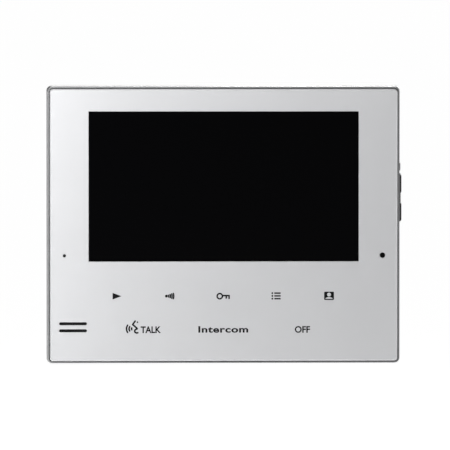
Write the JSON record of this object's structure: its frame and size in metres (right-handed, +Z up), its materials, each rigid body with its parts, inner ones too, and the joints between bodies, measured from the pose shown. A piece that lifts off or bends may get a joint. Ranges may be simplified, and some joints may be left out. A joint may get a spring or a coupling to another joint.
{
  "type": "video intercom monitor",
  "caption": "Slim wall-hung video intercom monitor with silver front, wide black display window, touch-key row, side keys, speaker slots and a hook-on steel wall bracket.",
  "frame": {"origin": "centre of the wall bracket's screw pattern, on the wall", "axes": "+X to the right and +Z up as seen from the front; +Y into the wall, so the front faces -Y"},
  "size_m": [0.2093, 0.0241, 0.164],
  "materials": {
    "panel_silver": "satin silver, very fine vertical grain",
    "frame_silver": "satin silver grey paint",
    "case_grey": "fine moulded texture",
    "window_black": "black back-printed window, gloss",
    "key_black": "black, satin",
    "knob_grey": "grey, satin",
    "lens_smoke": "smoked clear plastic",
    "bracket_steel": "zinc plated pressed sheet",
    "screw_steel": "zinc plated",
    "board_green": "solder mask on fibreglass",
    "chip_black": "moulded epoxy",
    "shield_tin": "tin plated",
    "can_metal": "capacitor can",
    "coil_ferrite": "ferrite",
    "plug_white": "nylon housing",
    "ribbon_amber": "polyimide film",
    "lcd_glass": "display glass",
    "lcd_frame": "pressed bezel",
    "lcd_white": "backlight frame",
    "guide_clear": "frosted clear",
    "led_white": "light source",
    "pad_foam": "conductive foam",
    "terminal_green": "terminal housing",
    "lever_orange": "release levers",
    "pin_tin": "tin plated brass",
    "magnet_steel": "yoke",
    "cone_black": "speaker cone film",
    "soft_black": "rubber",
    "cloth_black": "dust cloth",
    "tape_white": "foam adhesive tape",
    "capsule_metal": "microphone can",
    "lead_black": "insulated lead"
  },
  "bodies": {
    "wall_bracket": {"wall_bracket": "bracket_steel"},
    "monitor": {"board_plugs": "plug_white", "board_screws": "screw_steel", "capacitors": "can_metal", "case_screws": "screw_steel", "display_ribbon": "ribbon_amber", "display_window": "window_black", "front_frame": "frame_silver", "front_panel": "panel_silver", "indicator_lens": "lens_smoke", "indicator_light": "led_white", "inductor": "coil_ferrite", "key_lights": "led_white", "lcd_backlight": "lcd_white", "lcd_bezel": "lcd_frame", "lcd_glass": "lcd_glass", "lcd_retainer": "bracket_steel", "light_guides": "guide_clear", "main_board": "board_green", "memory_chips": "chip_black", "microphone": "capsule_metal", "microphone_boot": "soft_black", "microphone_lead": "lead_black", "panel_tape": "tape_white", "processor": "chip_black", "processor_shield": "shield_tin", "rear_case": "case_grey", "retainer_screws": "screw_steel", "side_board": "board_green", "side_key_carrier": "key_black", "side_lead": "lead_black", "side_socket": "plug_white", "slot_cloth": "cloth_black", "speaker_basket": "lcd_frame", "speaker_cone": "cone_black", "speaker_gasket": "soft_black", "speaker_lead": "lead_black", "speaker_magnet": "magnet_steel", "switch_body": "shield_tin", "tact_switches": "chip_black", "terminal_block": "terminal_green", "terminal_pins": "pin_tin", "touch_board": "board_green", "touch_chip": "chip_black", "touch_pads": "pad_foam", "touch_ribbon": "ribbon_amber", "touch_screws": "screw_steel", "touch_socket": "plug_white"},
    "volume_up_key": {"volume_up_key": "key_black"},
    "volume_down_key": {"volume_down_key": "key_black"},
    "switch_knob": {"switch_knob": "knob_grey"},
    "release_lever_1": {"release_lever_1": "lever_orange"},
    "release_lever_2": {"release_lever_2": "lever_orange"},
    "release_lever_3": {"release_lever_3": "lever_orange"},
    "release_lever_4": {"release_lever_4": "lever_orange"},
    "release_lever_5": {"release_lever_5": "lever_orange"},
    "release_lever_6": {"release_lever_6": "lever_orange"}
  },
  "joints": [
    {"name": "monitor_lift", "type": "slide", "parent": "wall_bracket", "child": "monitor", "axis": [0, 0, 1], "range_m": [0, 0.0065]},
    {"name": "volume_up_key_press", "type": "slide", "parent": "monitor", "child": "volume_up_key", "axis": [-1, 0, 0], "range_m": [0, 0.0005], "stiffness_N_per_m": 1500, "springref_m": -0.0005},
    {"name": "volume_down_key_press", "type": "slide", "parent": "monitor", "child": "volume_down_key", "axis": [-1, 0, 0], "range_m": [0, 0.0005], "stiffness_N_per_m": 1500, "springref_m": -0.0005},
    {"name": "power_switch_slide", "type": "slide", "parent": "monitor", "child": "switch_knob", "axis": [0, 0, 1], "range_m": [0, 0.002]},
    {"name": "release_lever_1_press", "type": "slide", "parent": "monitor", "child": "release_lever_1", "axis": [0, -1, 0], "range_m": [0, 0.0012], "stiffness_N_per_m": 2500, "springref_m": -0.0004},
    {"name": "release_lever_2_press", "type": "slide", "parent": "monitor", "child": "release_lever_2", "axis": [0, -1, 0], "range_m": [0, 0.0012], "stiffness_N_per_m": 2500, "springref_m": -0.0004},
    {"name": "release_lever_3_press", "type": "slide", "parent": "monitor", "child": "release_lever_3", "axis": [0, -1, 0], "range_m": [0, 0.0012], "stiffness_N_per_m": 2500, "springref_m": -0.0004},
    {"name": "release_lever_4_press", "type": "slide", "parent": "monitor", "child": "release_lever_4", "axis": [0, -1, 0], "range_m": [0, 0.0012], "stiffness_N_per_m": 2500, "springref_m": -0.0004},
    {"name": "release_lever_5_press", "type": "slide", "parent": "monitor", "child": "release_lever_5", "axis": [0, -1, 0], "range_m": [0, 0.0012], "stiffness_N_per_m": 2500, "springref_m": -0.0004},
    {"name": "release_lever_6_press", "type": "slide", "parent": "monitor", "child": "release_lever_6", "axis": [0, -1, 0], "range_m": [0, 0.0012], "stiffness_N_per_m": 2500, "springref_m": -0.0004}
  ]
}
